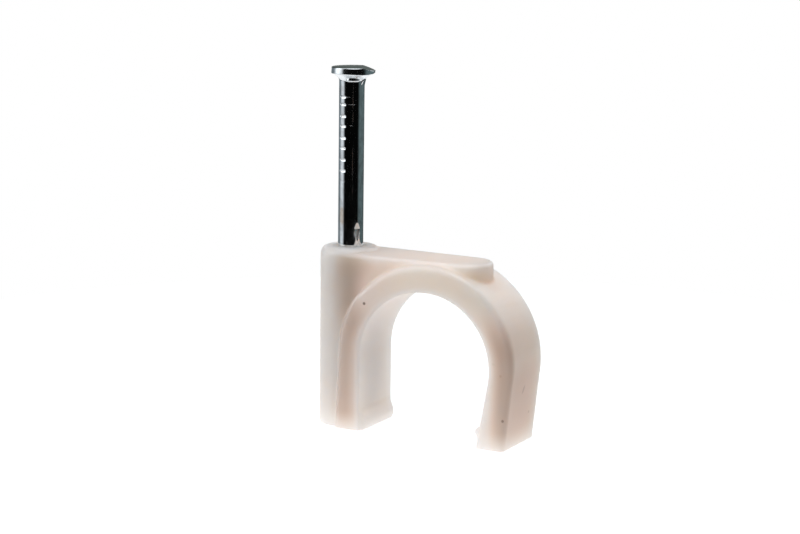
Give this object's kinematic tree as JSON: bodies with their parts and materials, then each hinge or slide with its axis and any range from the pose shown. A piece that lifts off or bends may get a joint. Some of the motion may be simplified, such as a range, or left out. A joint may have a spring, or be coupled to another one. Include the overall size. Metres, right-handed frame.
{
  "type": "nail-in cable clip",
  "caption": "Moulded hook-shaped clip that holds a round cable to a wall, with snap lips at its mouth and a headed steel nail standing in its boss.",
  "frame": {"origin": "on the wall plane under the feet, at the middle of the part's length and width", "axes": "+Z away from the wall along the nail towards its head, +X from the nail to the free leg, Y along the cable"},
  "size_m": [0.016, 0.0048, 0.0253],
  "materials": {
    "clip_plastic": "satin off-white moulded plastic, slightly translucent",
    "nail_steel": "bright zinc-plated wire steel"
  },
  "bodies": {
    "root": {"clip_body": "clip_plastic", "nail": "nail_steel"}
  },
  "joints": []
}
